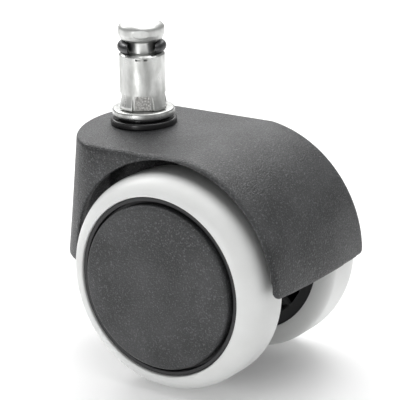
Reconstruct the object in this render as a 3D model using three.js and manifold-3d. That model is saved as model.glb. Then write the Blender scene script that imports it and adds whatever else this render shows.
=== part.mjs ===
// Twin-wheel furniture caster: plug-in grip stem, moulded hood and two soft-tread wheels.
// Millimetres, +Z up. The origin lies on the swivel axis, on the top face of the stem's flange.
// The wheels trail towards +X, the left wheel is on the -Y side.

import * as THREE from "three";
import { mergeVertices } from "three/addons/utils/BufferGeometryUtils.js";
import Module from "manifold-3d";

const wasm = await Module();
wasm.setup();

// ---- driving dimensions ------------------------------------------------------------------
const WHEEL_RADIUS = 25;
const FLANGE_HEIGHT = 58.25; // floor to the top face of the flange
const TRAIL = 19.2; // swivel axis to wheel axis
const AXLE_Z = WHEEL_RADIUS - FLANGE_HEIGHT;
const FIT = 0.1; // gap left between two pieces that are pressed together
const RUNNING = 0.06; // radial clearance of a turning fit
const BITE = 1; // how far two joined shapes run into each other, or a cut runs past a face

const STEM = {
  tip: 20.7, // top of the head
  headRadius: 5.3,
  headBandBottom: 17.4, // upright band round the head
  headBandTop: 18.8,
  neckRadius: 3.1,
  neckBottom: 12.9,
  neckTop: 15.6,
  coreRadius: 4,
  journalEnd: -27.5,
  clipGrooveRadius: 3.2,
  clipGrooveWidth: 1.1,
  clipGrooveTop: -24.9,
};
const SLEEVE = {
  radius: 5.25,
  bore: STEM.coreRadius + FIT,
  bandRadius: 5.85,
  bandShoulder: 1.98,
  bandHeight: 3.6,
  chamfer: 0.45,
  stampSize: 3.6,
  stampDepth: 0.4,
  landGap: 4.8, // clear width between two raised lands
};
const RING = { section: 1.2, centre: 4.4, gap: 6.3 };
const FLANGE = { radius: 7.2, thickness: 1.7, edge: 0.6, recess: 0.1 };
const STAMP_TURN = -Math.PI * 0.31; // where the first stamp and the ring's gap point

const HOOD = {
  top: AXLE_Z + 29.55, // crown of the roof
  skirt: AXLE_Z - 0.6, // lower edge of the front skirt
  tail: AXLE_Z + 1.5, // lower edge of the back
  nose: -32.3, // front end of the roof, from the wheel axis
  noseStart: -20, // where the nose curve meets the straight sides
  noseExponent: 1.9,
  noseLean: 4.8, // how far the skirt's front end stands ahead of the roof
  halfWidth: 19.2,
  crown: 1, // drop of the roof and the back from the middle to the sides
  edge: 1.6, // rounding between the roof and the sides
  planRise: 0.15, // how far the plan block reaches above the roof's crown
  wall: 1.8,
  backRadius: 28.65,
  archRadius: 26.65,
  arcX: 0.35, // centre of the back and of the wheel arches, from the wheel axis
  arcZ: 1.15,
};
const WEB = {
  thickness: 5,
  stemBoss: 8.3,
  bossBottom: -24.2,
  axleBoss: 7,
  axleBossHalf: 8.3,
  noseRise: 4, // how much higher the wall starts in front of the stem boss than behind it
  sill: 2, // how far the wall reaches below the wheel axis
  rearRise: 10, // how far above the hood's tail the wall meets the back
};
const BUSH = {
  bore: STEM.coreRadius + RUNNING,
  sleeve: 5.4,
  collar: 7.65,
  collarTop: -2.3,
  edge: 0.4,
  landRadius: 5.6,
};

const AXLE = { radius: 3, halfLength: 21.8, chamfer: 0.4 };
const WASHER = { radius: 6, thickness: 0.4 };
const CLIP = { start: 20.35, thickness: 0.8, radius: 5.6, rim: 1, prongs: 6, slotWidth: 0.9 };
const TREAD = {
  innerSide: 10,
  outerSide: 23.4,
  bore: 20.65,
  shoulderWide: 5.9,
  shoulderDeep: 4.4,
  innerWide: 2,
  innerDeep: 4.2,
};
const HUB = {
  radius: 20.55,
  innerSide: 10.4,
  outerSide: 22.95,
  lipBore: 19.55,
  lipDepth: 1.75,
  rimBore: 17.4,
  draft: 0.6, // how much wider the rim is at its open inner side
  discInner: 16.2,
  discOuter: 18.4,
  bossRadius: 6.8,
  bossInner: 9.05,
  bossOuter: 20.1,
  bushSeat: 4.6,
  ribs: 8,
  ribThickness: 1.6,
  ribStart: 11.4,
};
const CAP = {
  radius: 18.9,
  edge: 0.9,
  outerSide: 24.35,
  crown: 24.75,
  under: 21.35,
  shell: 1.5,
  snapRadius: 17.2,
  snapWall: 1.4,
  snapEnd: 18.7,
};

const FINE = 40; // facets round a large turned piece
const MEDIUM = 24; // facets round a small turned piece
const ARCH = 60; // facets round the wheel arches' full circle

// ---- finishes ----------------------------------------------------------------------------
const finish = (color, roughness, metalness) =>
  new THREE.MeshStandardMaterial({ color, roughness, metalness });
const PLATED_STEEL = [0xc9cac8, 0.28, 1];
const SPRING_STEEL = [0x4a4946, 0.45, 1];
const BLACK_NYLON = [0x1d1d1e, 0.35, 0];
const GREY_NYLON = [0x4d4e50, 0.75, 0];
const SOFT_TREAD = [0xdcdddc, 0.5, 0];

// ---- solid tools -------------------------------------------------------------------------

/** Turns a closed geometry into a manifold solid. */
function solid(geometry) {
  const bare = geometry.clone();
  bare.deleteAttribute("normal");
  bare.deleteAttribute("uv");
  const merged = mergeVertices(bare, 1e-4);
  const index = merged.index.array;
  const triangles = [];
  for (let i = 0; i < index.length; i += 3) {
    const [a, b, c] = index.slice(i, i + 3);
    if (a !== b && b !== c && c !== a) triangles.push(a, b, c);
  }
  const vertProperties = new Float32Array(merged.attributes.position.array);
  const triVerts = new Uint32Array(triangles);
  return new wasm.Manifold(new wasm.Mesh({ numProp: 3, vertProperties, triVerts }));
}

/** Turns a manifold solid back into a geometry. */
function geometryOf(body) {
  const { vertProperties, triVerts } = body.getMesh();
  const geometry = new THREE.BufferGeometry();
  geometry.setAttribute("position", new THREE.Float32BufferAttribute(vertProperties, 3));
  geometry.setIndex([...triVerts]);
  geometry.computeVertexNormals();
  return geometry;
}

const join = (...bodies) => bodies.reduce((whole, body) => whole.add(body));
const cut = (body, ...tools) => tools.reduce((rest, tool) => rest.subtract(tool), body);

/** Signed area of a closed outline of [r, h] points. */
function outlineArea(outline) {
  return outline.reduce((sum, [r, h], i) => {
    const [nextR, nextH] = outline[(i + 1) % outline.length];
    return sum + (r * nextH - nextR * h) / 2;
  }, 0);
}

/** Revolves an outline of [radius, height] points round the Y axis. */
function turnedOnY(outline, facets) {
  const ordered = outlineArea(outline) > 0 ? outline : [...outline].reverse();
  const onAxis = ordered.filter(([r]) => r === 0).length > 0;
  let points = ordered;
  if (onAxis) {
    const start = ordered.findIndex(([r], i) => r === 0 && ordered.at(i - 1)[0] === 0);
    points = [...ordered.slice(start), ...ordered.slice(0, start)];
  } else {
    points = [...ordered, ordered[0]];
  }
  const profile = points.map(([r, h]) => new THREE.Vector2(r, h));
  return new THREE.LatheGeometry(profile, facets);
}

/** Revolves an outline of [radius, height] points round the Z axis. */
const turnedOnZ = (outline, facets) => turnedOnY(outline, facets).rotateX(Math.PI / 2);

/** Points of a quarter ellipse from angle `from` to angle `to`. */
function ellipse(centreR, centreH, radiusR, radiusH, from, to, steps) {
  return Array.from({ length: steps + 1 }, (_, i) => {
    const angle = from + ((to - from) * i) / steps;
    return [centreR + radiusR * Math.cos(angle), centreH + radiusH * Math.sin(angle)];
  });
}

/** A box between two corners. */
function box(low, high) {
  const size = high.map((value, i) => value - low[i]);
  const middle = high.map((value, i) => (value + low[i]) / 2);
  return new THREE.BoxGeometry(...size).translate(...middle);
}

/** Skins a stack of level outlines, each an equal number of [x, y, z] points. */
function loft(levels) {
  const count = levels[0].length;
  const vertices = levels.flat();
  const triangles = [];
  for (let level = 0; level + 1 < levels.length; level += 1) {
    for (let i = 0; i < count; i += 1) {
      const a = level * count + i;
      const b = level * count + ((i + 1) % count);
      triangles.push(a, b, b + count, a, b + count, a + count);
    }
  }
  const top = (levels.length - 1) * count;
  for (let i = 1; i + 1 < count; i += 1) {
    triangles.push(0, i + 1, i, top, top + i, top + i + 1);
  }
  const geometry = new THREE.BufferGeometry();
  geometry.setAttribute("position", new THREE.Float32BufferAttribute(vertices.flat(), 3));
  geometry.setIndex(triangles);
  return geometry;
}

/** Copies of a solid tool, turned in equal steps about the Z axis. */
function roundZ(geometry, count, start = 0) {
  return Array.from({ length: count }, (_, i) =>
    solid(geometry.clone().rotateZ(start + (i * 2 * Math.PI) / count)));
}

/** Copies of a solid tool, turned in equal steps about the Y axis. */
function roundY(geometry, count) {
  return Array.from({ length: count }, (_, i) =>
    solid(geometry.clone().rotateY((i * 2 * Math.PI) / count)));
}

// ---- stem --------------------------------------------------------------------------------

/** Turned core: domed head, neck, body and the long journal that swivels in the hood. */
function stemPin() {
  const s = STEM;
  const domeHeight = s.tip - s.headBandTop;
  const dome = ellipse(0, s.headBandTop, s.headRadius, domeHeight, 0, Math.PI / 2, 5);
  const grooveBottom = s.clipGrooveTop - s.clipGrooveWidth;
  const lead = 0.6;
  const outline = [
    [0, s.journalEnd],
    [s.coreRadius - lead, s.journalEnd],
    [s.coreRadius, s.journalEnd + lead],
    [s.coreRadius, grooveBottom],
    [s.clipGrooveRadius, grooveBottom],
    [s.clipGrooveRadius, s.clipGrooveTop],
    [s.coreRadius, s.clipGrooveTop],
    [s.coreRadius, s.neckBottom],
    [s.neckRadius, s.neckBottom],
    [s.neckRadius, s.neckTop],
    [s.coreRadius, s.neckTop],
    [s.headRadius, s.headBandBottom],
    ...dome.slice(0, -1),
    [0, s.tip],
  ];
  return turnedOnZ(outline, MEDIUM);
}

/** Pressed sleeve with a chamfered mouth, four raised lands and four square stamps. */
function stemSleeve() {
  const s = SLEEVE;
  const top = STEM.neckBottom;
  const tube = solid(turnedOnZ([
    [s.bore, FIT],
    [s.radius, FIT],
    [s.radius, top - s.chamfer],
    [s.radius - s.chamfer, top],
    [s.bore, top],
  ], MEDIUM));
  const band = solid(turnedOnZ([
    [s.bore, FIT],
    [s.bandRadius, FIT],
    [s.bandRadius, s.bandShoulder],
    [s.radius, s.bandHeight],
    [s.bore, s.bandHeight],
  ], MEDIUM));
  const reach = s.bandRadius * 2;
  const half = s.landGap / 2;
  const clear = box([s.radius - FIT, -half, -BITE], [reach, half, s.bandHeight + BITE]);
  const stampHalf = s.stampSize / 2;
  const stamp = box(
    [s.radius - s.stampDepth, -stampHalf, -BITE],
    [reach, stampHalf, s.bandHeight],
  );
  const lands = cut(band, ...roundZ(clear, 4, STAMP_TURN));
  return geometryOf(cut(join(tube, lands), ...roundZ(stamp, 4, STAMP_TURN)));
}

/** Open ring of round spring wire that grips the socket. */
function gripRing() {
  const level = (STEM.neckBottom + STEM.neckTop) / 2;
  const sides = 8;
  const section = ellipse(RING.centre, level, RING.section, RING.section, 0, 2 * Math.PI, sides);
  const ring = solid(turnedOnZ(section.slice(0, -1), MEDIUM));
  const half = RING.gap / 2;
  const clear = RING.section * 2;
  const reach = RING.centre + clear;
  const gap = box([0, -half, level - clear], [reach, half, level + clear]).rotateZ(STAMP_TURN);
  return geometryOf(cut(ring, solid(gap)));
}

/** Thick washer that carries the load onto the hood, with a shallow recess for the sleeve's foot. */
function stemFlange() {
  const { radius, thickness, edge, recess } = FLANGE;
  const bore = STEM.coreRadius + FIT;
  const seatInner = SLEEVE.bandRadius + FIT;
  const rounded = [
    ...ellipse(radius - edge, -thickness + edge, edge, edge, -Math.PI / 2, 0, 2),
    ...ellipse(radius - edge, -edge, edge, edge, 0, Math.PI / 2, 2),
  ];
  return turnedOnZ([
    [bore, -thickness],
    ...rounded,
    [seatInner, 0],
    [seatInner, -recess],
    [bore, -recess],
  ], MEDIUM);
}

/** Open retaining ring snapped into the groove at the journal's lower end. */
function stemClip() {
  const gap = FIT;
  const low = STEM.clipGrooveTop - STEM.clipGrooveWidth + gap;
  const high = STEM.clipGrooveTop - gap;
  const inner = STEM.clipGrooveRadius + gap;
  const outer = STEM.coreRadius + 2;
  const ring = turnedOnZ([[inner, low], [outer, low], [outer, high], [inner, high]], MEDIUM);
  const mouthHalf = STEM.clipGrooveRadius - FIT * 5;
  const mouth = box([0, -mouthHalf, low - BITE], [outer * 2, mouthHalf, high + BITE]);
  return geometryOf(cut(solid(ring), solid(mouth)));
}

// ---- hood --------------------------------------------------------------------------------

/** One level of the hood's plan outline: a rounded nose and straight sides, `inset` inwards. */
function hoodLevel(inset, lean, z) {
  const steps = 12;
  const depth = HOOD.noseStart - HOOD.nose + lean - inset;
  const half = HOOD.halfWidth - inset;
  const power = 2 / HOOD.noseExponent;
  const rearX = TRAIL + WHEEL_RADIUS * 2;
  const nose = Array.from({ length: 2 * steps + 1 }, (_, i) => {
    const angle = (Math.PI / 2) * (1 - i / steps);
    const x = TRAIL + HOOD.noseStart - depth * Math.cos(angle) ** power;
    return [x, Math.sign(angle) * half * Math.abs(Math.sin(angle)) ** power, z];
  });
  return [...nose, [rearX, -half, z], [rearX, half, z]];
}

/** The hood's plan shape as an upright block whose nose leans forward, `inset` all round. */
function hoodPlan(inset, bottom) {
  const top = HOOD.top - inset + HOOD.planRise;
  const edge = HOOD.edge - inset / 2;
  const leanEnd = HOOD.noseLean * ((top - bottom) / (HOOD.top - HOOD.skirt));
  const levels = [hoodLevel(inset, leanEnd, bottom), hoodLevel(inset, 0, top - edge)];
  const roundSteps = 4;
  for (let i = 1; i <= roundSteps; i += 1) {
    const angle = (Math.PI / 2) * (i / roundSteps);
    const z = top - edge * (1 - Math.sin(angle));
    levels.push(hoodLevel(inset, edge * (Math.cos(angle) - 1), z));
  }
  return solid(loft(levels));
}

/** Side view of the hood at one distance from its middle plane, sunk inwards by `sink`. */
function hoodStation(y, sink, bottom) {
  const radius = HOOD.backRadius - sink;
  const centreX = TRAIL + HOOD.arcX;
  const centreZ = AXLE_Z + HOOD.arcZ;
  const top = HOOD.top - sink;
  const start = Math.asin(Math.min((top - centreZ) / radius, 1));
  const front = TRAIL - WHEEL_RADIUS * 2;
  const steps = 16;
  const arc = Array.from({ length: steps + 1 }, (_, i) => {
    const angle = start * (1 - i / steps);
    return [centreX + radius * Math.cos(angle), y, centreZ + radius * Math.sin(angle)];
  });
  return [[front, y, bottom], [front, y, top], ...arc, [centreX + radius, y, bottom]];
}

/** The hood's crowned roof and back, rounded down at both sides, `inset` inwards. */
function hoodRoof(inset, bottom) {
  const edge = HOOD.edge - inset / 2;
  const half = HOOD.halfWidth - inset;
  const flat = half - edge;
  const crownAt = (y) => HOOD.crown * (y / HOOD.halfWidth) ** 2;
  const flatSteps = 3;
  const edgeSteps = 4;
  const stations = [];
  for (let i = 0; i <= flatSteps; i += 1) {
    stations.push([(flat * i) / flatSteps, 0]);
  }
  for (let i = 1; i <= edgeSteps; i += 1) {
    const angle = (Math.PI / 2) * (i / edgeSteps);
    stations.push([flat + edge * Math.sin(angle), edge * (1 - Math.cos(angle))]);
  }
  const mirrored = stations.slice(1).reverse().map(([y, drop]) => [-y, drop]);
  return solid(loft([...mirrored, ...stations].map(([y, drop]) =>
    hoodStation(y, inset + crownAt(y) + drop, bottom))));
}

/** A round bar along Y, between two values of y, moved off the wheel axis by `dx` and `dz`. */
function barOnAxle(radius, fromY, toY, facets, dx = 0, dz = 0) {
  const bar = turnedOnY([[0, fromY], [radius, fromY], [radius, toY], [0, toY]], facets);
  return bar.translate(TRAIL + dx, 0, AXLE_Z + dz);
}

/** A round bar along Z on the swivel axis, between two values of z. */
function barOnStem(radius, fromZ, toZ) {
  return turnedOnZ([[0, fromZ], [radius, fromZ], [radius, toZ], [0, toZ]], MEDIUM);
}

/** Middle wall that joins the roof, the swivel boss and the axle boss. */
function hoodWeb() {
  const half = WEB.thickness / 2;
  const rear = TRAIL + HOOD.arcX + HOOD.backRadius;
  const outline = new THREE.Shape();
  outline.moveTo(-WEB.stemBoss, WEB.bossBottom + WEB.noseRise);
  outline.lineTo(WEB.stemBoss - BITE, WEB.bossBottom);
  outline.lineTo(TRAIL - WEB.axleBoss, AXLE_Z - WEB.sill);
  outline.lineTo(TRAIL + WEB.axleBoss, AXLE_Z - WEB.sill);
  outline.lineTo(rear, HOOD.tail + WEB.rearRise);
  outline.lineTo(rear, HOOD.top);
  outline.lineTo(-WEB.stemBoss, HOOD.top);
  outline.closePath();
  const plate = new THREE.ExtrudeGeometry(outline, { depth: WEB.thickness, bevelEnabled: false });
  const wall = solid(plate.rotateX(Math.PI / 2).translate(0, half, 0));
  const axleBoss = barOnAxle(WEB.axleBoss, -WEB.axleBossHalf, WEB.axleBossHalf, MEDIUM);
  return join(wall, solid(barOnStem(WEB.stemBoss, WEB.bossBottom, HOOD.top)), solid(axleBoss));
}

/** The moulded hood: shell, wheel arches, middle wall and both bosses in one piece. */
function hood() {
  const below = AXLE_Z - WHEEL_RADIUS;
  const reach = WHEEL_RADIUS * 2;
  const aboveSkirt = solid(box([-reach, -reach, HOOD.skirt], [reach * 2, reach, HOOD.top + BITE]));
  const belowTail = solid(box([TRAIL, -reach, below], [reach * 2, reach, HOOD.tail]));
  const outside = hoodPlan(0, below).intersect(hoodRoof(0, below));
  const lower = below - BITE;
  const inside = hoodPlan(HOOD.wall, lower).intersect(hoodRoof(HOOD.wall, lower));
  const shell = cut(outside.subtract(inside).intersect(aboveSkirt), belowTail);
  const body = join(shell, hoodWeb().intersect(outside));
  const archStart = TREAD.innerSide - BITE;
  const arches = [-1, 1].map((side) => {
    const span = [side * archStart, side * WHEEL_RADIUS].sort((a, b) => a - b);
    return solid(barOnAxle(HOOD.archRadius, ...span, ARCH, HOOD.arcX, HOOD.arcZ));
  });
  const boreRadius = BUSH.sleeve + FIT;
  const swivelBore = solid(barOnStem(boreRadius, WEB.bossBottom - BITE, HOOD.top + BITE));
  const boreHalf = WEB.axleBossHalf + BITE;
  const axleBore = solid(barOnAxle(AXLE.radius + FIT, -boreHalf, boreHalf, MEDIUM));
  return geometryOf(cut(body, ...arches, swivelBore, axleBore));
}

/** Flanged bush lining the swivel boss, with the thrust land the flange turns on. */
function swivelBush() {
  const b = BUSH;
  const seat = HOOD.top + FIT;
  const outline = [
    [b.bore, WEB.bossBottom],
    [b.sleeve, WEB.bossBottom],
    [b.sleeve, seat],
    [b.collar, seat],
    [b.collar, b.collarTop - b.edge],
    [b.collar - b.edge, b.collarTop],
    [b.landRadius, b.collarTop],
    [b.landRadius, -FLANGE.thickness - FIT],
    [b.bore, -FLANGE.thickness - FIT],
  ];
  return turnedOnZ(outline, MEDIUM);
}

/** Steel axle held in the hood's boss. */
function axle() {
  const { radius, halfLength, chamfer } = AXLE;
  const small = radius - chamfer;
  return turnedOnY([
    [0, -halfLength],
    [small, -halfLength],
    [radius, -halfLength + chamfer],
    [radius, halfLength - chamfer],
    [small, halfLength],
    [0, halfLength],
  ], MEDIUM);
}

/** Thin washer between the axle boss and a wheel, on the +Y side. */
function axleWasher() {
  const inner = WEB.axleBossHalf + FIT;
  const outer = inner + WASHER.thickness;
  const bore = AXLE.radius + FIT;
  return turnedOnY(
    [[bore, inner], [WASHER.radius, inner], [WASHER.radius, outer], [bore, outer]],
    MEDIUM,
  );
}

/** Push-on star clip that keeps a wheel on the axle, on the +Y side. */
function axleClip() {
  const { start, thickness, radius, rim, prongs, slotWidth } = CLIP;
  const bore = AXLE.radius + FIT;
  const disc = solid(turnedOnY(
    [[bore, start], [radius, start], [radius, start + thickness], [bore, start + thickness]],
    MEDIUM,
  ));
  const half = slotWidth / 2;
  const slotEnd = start + thickness + BITE;
  const slot = box([0, start - BITE, -half], [radius - rim, slotEnd, half]);
  return geometryOf(cut(disc, ...roundY(slot, prongs)));
}

// ---- wheel, drawn on the +Y side ---------------------------------------------------------

/** Soft tyre with a broad rounded outer shoulder. */
function tread() {
  const t = TREAD;
  const outerCentre = t.outerSide - t.shoulderWide;
  const innerCentre = t.innerSide + t.innerWide;
  const quarter = Math.PI / 2;
  const edge = 0.35;
  const seam = t.bore + edge;
  return turnedOnY([
    [t.bore, t.innerSide],
    ...ellipse(WHEEL_RADIUS - t.innerDeep, innerCentre, t.innerDeep, t.innerWide, -quarter, 0, 3),
    ...ellipse(WHEEL_RADIUS - t.shoulderDeep, outerCentre, t.shoulderDeep, t.shoulderWide,
      0, quarter, 6).filter(([r]) => r > seam),
    [seam, t.outerSide],
    [t.bore, t.outerSide - edge],
  ], FINE);
}

/** Moulded hub: rim, disc, boss and the ribs on its inner side. */
function wheelHub() {
  const h = HUB;
  const rotor = solid(turnedOnY([
    [h.bushSeat, h.bossInner],
    [h.bossRadius, h.bossInner],
    [h.bossRadius, h.discInner],
    [h.rimBore, h.discInner],
    [h.rimBore + h.draft, h.innerSide],
    [h.radius, h.innerSide],
    [h.radius, h.outerSide],
    [h.lipBore, h.outerSide],
    [h.lipBore, h.outerSide - h.lipDepth],
    [h.rimBore, h.outerSide - h.lipDepth],
    [h.rimBore, h.discOuter],
    [h.bossRadius, h.discOuter],
    [h.bossRadius, h.bossOuter],
    [h.bushSeat, h.bossOuter],
  ], FINE));
  const half = h.ribThickness / 2;
  const rib = box(
    [h.bossRadius - BITE, h.ribStart, -half],
    [h.rimBore + BITE, h.discInner + BITE, half],
  );
  return geometryOf(join(rotor, ...roundY(rib, h.ribs)));
}

/** Plain bearing sleeve pressed into the hub. */
function wheelBush() {
  const { bossInner, bossOuter, bushSeat } = HUB;
  const bore = AXLE.radius + RUNNING;
  const outer = bushSeat - FIT;
  return turnedOnY(
    [[bore, bossInner], [outer, bossInner], [outer, bossOuter], [bore, bossOuter]],
    MEDIUM,
  );
}

/** Crowned cover disc with a rounded rim and a snap skirt behind it. */
function hubCap() {
  const c = CAP;
  const quarter = Math.PI / 2;
  const rim = ellipse(c.radius - c.edge, c.outerSide - c.edge, c.edge, c.edge, 0, quarter, 3);
  const crownSteps = 3;
  const flat = c.radius - c.edge;
  const crown = Array.from({ length: crownSteps }, (_, i) => {
    const r = flat * (1 - (i + 1) / crownSteps);
    return [r, c.crown - (c.crown - c.outerSide) * (r / flat) ** 2];
  });
  const snapInner = c.snapRadius - c.snapWall;
  return turnedOnY([
    [0, c.crown - c.shell],
    [snapInner, c.outerSide - c.shell],
    [snapInner, c.snapEnd],
    [c.snapRadius, c.snapEnd],
    [c.snapRadius, c.under],
    [c.radius, c.under],
    ...rim,
    ...crown,
  ], FINE);
}

// ---- assembly ----------------------------------------------------------------------------

/** A named mesh. */
function mesh(name, geometry, look) {
  const part = new THREE.Mesh(geometry, finish(...look));
  part.name = name;
  return part;
}

const caster = new THREE.Group();
caster.add(
  mesh("stem_pin", stemPin(), PLATED_STEEL),
  mesh("stem_sleeve", stemSleeve(), PLATED_STEEL),
  mesh("grip_ring", gripRing(), SPRING_STEEL),
  mesh("stem_flange", stemFlange(), PLATED_STEEL),
  mesh("stem_clip", stemClip(), SPRING_STEEL),
  mesh("swivel_bush", swivelBush(), BLACK_NYLON),
  mesh("hood", hood(), GREY_NYLON),
);

const axleGroup = new THREE.Group();
axleGroup.position.set(TRAIL, 0, AXLE_Z);
axleGroup.add(mesh("axle", axle(), PLATED_STEEL));
caster.add(axleGroup);

// The right side is on +Y; the left side is the same set turned half a turn about the Z axis.
for (const [side, turn] of [["left", Math.PI], ["right", 0]]) {
  const wheelSide = new THREE.Group();
  wheelSide.rotation.z = turn;
  wheelSide.add(
    mesh(`axle_washer_${side}`, axleWasher(), PLATED_STEEL),
    mesh(`axle_clip_${side}`, axleClip(), SPRING_STEEL),
    mesh(`wheel_bush_${side}`, wheelBush(), BLACK_NYLON),
    mesh(`wheel_hub_${side}`, wheelHub(), GREY_NYLON),
    mesh(`tread_${side}`, tread(), SOFT_TREAD),
    mesh(`hub_cap_${side}`, hubCap(), GREY_NYLON),
  );
  axleGroup.add(wheelSide);
}

export default caster;
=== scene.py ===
"""Looks of a twin-wheel office chair caster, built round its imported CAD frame.

Sizes inside the classes are millimetres. The swivel axis is the Z axis, with its origin on the
top face of the stem's flange, and the wheels trail towards +X.
"""

from __future__ import annotations

import logging
import math
from dataclasses import dataclass
from enum import Enum
from itertools import pairwise
from typing import Callable, Sequence

import bpy
from mathutils import Matrix, Vector

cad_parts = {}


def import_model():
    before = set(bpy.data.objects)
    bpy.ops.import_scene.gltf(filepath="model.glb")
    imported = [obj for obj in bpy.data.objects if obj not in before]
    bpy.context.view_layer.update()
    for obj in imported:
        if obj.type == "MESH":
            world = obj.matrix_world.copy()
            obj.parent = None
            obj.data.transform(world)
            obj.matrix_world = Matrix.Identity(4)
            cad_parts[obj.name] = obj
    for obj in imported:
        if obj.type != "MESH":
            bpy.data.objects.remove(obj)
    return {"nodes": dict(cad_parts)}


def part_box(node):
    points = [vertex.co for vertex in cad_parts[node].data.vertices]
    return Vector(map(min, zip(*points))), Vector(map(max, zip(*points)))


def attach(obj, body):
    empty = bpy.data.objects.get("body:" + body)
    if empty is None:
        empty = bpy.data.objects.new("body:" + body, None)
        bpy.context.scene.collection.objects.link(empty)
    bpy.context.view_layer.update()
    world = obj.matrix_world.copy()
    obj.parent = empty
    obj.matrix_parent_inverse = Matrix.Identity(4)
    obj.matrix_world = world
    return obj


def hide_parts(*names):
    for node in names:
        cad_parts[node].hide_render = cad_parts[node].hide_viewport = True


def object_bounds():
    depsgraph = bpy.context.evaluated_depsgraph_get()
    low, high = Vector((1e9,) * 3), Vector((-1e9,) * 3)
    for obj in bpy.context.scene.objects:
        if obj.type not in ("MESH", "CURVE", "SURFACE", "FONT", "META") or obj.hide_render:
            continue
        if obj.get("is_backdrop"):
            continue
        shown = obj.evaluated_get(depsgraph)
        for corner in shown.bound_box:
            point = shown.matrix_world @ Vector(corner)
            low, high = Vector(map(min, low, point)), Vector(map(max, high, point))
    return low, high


log = logging.getLogger("caster")

MM = 0.001
QUARTER = math.pi / 2
STAMP_AZIMUTH = -math.pi * 0.31  # where the first stamp, the oval flat and the ring's gap point
FINE_TURN = 160  # steps round a wheel
SMALL_TURN = 96  # steps round a piece of the stem
BAR_TURN = 120  # steps round a bar that cuts or joins the hood
SMOOTH_BELOW = math.radians(35)  # edges flatter than this are shaded smooth
MERGE = 1e-6  # metres within which two vertices are one

Corner = tuple[float, float, float]
Place = tuple[float, float]
Piece = bpy.types.Object
Tree = bpy.types.NodeTree
Socket = bpy.types.NodeSocket
Inputs = dict[str | int, object]  # a node's inputs by name or number


# ---- lines and solids -----------------------------------------------------------------------


class Join(Enum):
    """How one solid is combined with another."""

    ADD = "UNION"
    CUT = "DIFFERENCE"
    KEEP_COMMON = "INTERSECT"


class Side(Enum):
    """The two sides of the caster, named by the sign of Y."""

    LEFT = "left"
    RIGHT = "right"


@dataclass(frozen=True)
class Spindle:
    """A line that pieces are turned about, along Y or Z."""

    centre: Vector
    axis: Vector

    def place(self, radius: float, along: float, azimuth: float = 0.0) -> Vector:
        """Point beside the spindle.

        Args:
            radius: Distance from the line, in millimetres.
            along: Distance along the line from its centre, in millimetres.
            azimuth: Angle about the Z axis, for the upright spindle.

        Returns:
            The point in metres.
        """
        outwards = Vector((math.cos(azimuth), math.sin(azimuth), 0))
        return self.centre + (outwards * radius + self.axis * along) * MM


def mm(x: float, y: float, z: float) -> Vector:
    """A vector given in millimetres, in metres."""
    return Vector((x, y, z)) * MM


def deselect() -> None:
    """Leaves edit mode, with nothing selected."""
    if bpy.context.object and bpy.context.object.mode != "OBJECT":
        bpy.ops.object.mode_set(mode="OBJECT")
    bpy.ops.object.select_all(action="DESELECT")


def pick(piece: Piece) -> None:
    """Makes one piece the only selected and the active one."""
    deselect()
    piece.select_set(True)
    bpy.context.view_layer.objects.active = piece


def edit(piece: Piece) -> None:
    """Opens a piece in edit mode with all of it selected."""
    pick(piece)
    bpy.ops.object.mode_set(mode="EDIT")
    bpy.ops.mesh.select_mode(type="VERT")
    bpy.ops.mesh.select_all(action="SELECT")


def close_up() -> None:
    """Merges the open piece's doubles, turns its faces outwards and leaves edit mode."""
    bpy.ops.mesh.select_all(action="SELECT")
    bpy.ops.mesh.remove_doubles(threshold=MERGE)
    bpy.ops.mesh.normals_make_consistent(inside=False)
    bpy.ops.object.mode_set(mode="OBJECT")


def settle(piece: Piece) -> None:
    """Puts the piece's place, turn and scale into its mesh."""
    pick(piece)
    bpy.ops.object.transform_apply(location=True, rotation=True, scale=True)


def draw_line(name: str, points: Sequence[Vector]) -> Piece:
    """Draws a line from point to point by extruding one vertex, and stays in edit mode.

    Args:
        name: Name of the new piece.
        points: Places of the line's vertices, in metres.

    Returns:
        The new piece.
    """
    deselect()
    bpy.ops.mesh.primitive_plane_add(size=MM, location=points[0])
    piece = bpy.context.object
    piece.name = piece.data.name = name
    settle(piece)
    edit(piece)
    bpy.ops.mesh.merge(type="CENTER")
    for here, there in pairwise(points):
        bpy.ops.mesh.extrude_vertices_move(TRANSFORM_OT_translate={"value": there - here})
    return piece


def turn(
    name: str,
    spindle: Spindle,
    outline: Sequence[Place],
    steps: int,
    start: float = 0.0,
    angle: float = math.tau,
) -> Piece:
    """Turns an outline about a spindle.

    Args:
        name: Name of the new piece.
        spindle: The line it is turned about.
        outline: Points as distance from the spindle and distance along it.
        steps: Number of steps of the turn.
        start: Azimuth where the turn starts.
        angle: How far it turns. Open ends are filled.

    Returns:
        The closed piece.
    """
    piece = draw_line(name, [spindle.place(r, h, start) for r, h in outline])
    bpy.ops.mesh.select_all(action="SELECT")
    bpy.ops.mesh.remove_doubles(threshold=MERGE)
    # The spin turns clockwise about its axis, so the axis is reversed to follow the azimuth.
    bpy.ops.mesh.spin(steps=steps, angle=angle, center=spindle.centre, axis=-spindle.axis)
    bpy.ops.mesh.select_all(action="SELECT")
    bpy.ops.mesh.remove_doubles(threshold=MERGE)
    bpy.ops.mesh.fill_holes(sides=0)
    close_up()
    return piece


def prism(name: str, outline: Sequence[Vector], travel: Vector) -> Piece:
    """Fills a closed outline and extrudes it.

    Args:
        name: Name of the new piece.
        outline: Corners of the face, in metres.
        travel: How far and which way the face is extruded, in metres.

    Returns:
        The closed piece.
    """
    piece = draw_face(name, outline)
    bpy.ops.mesh.extrude_region_move(TRANSFORM_OT_translate={"value": travel})
    close_up()
    return piece


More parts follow.
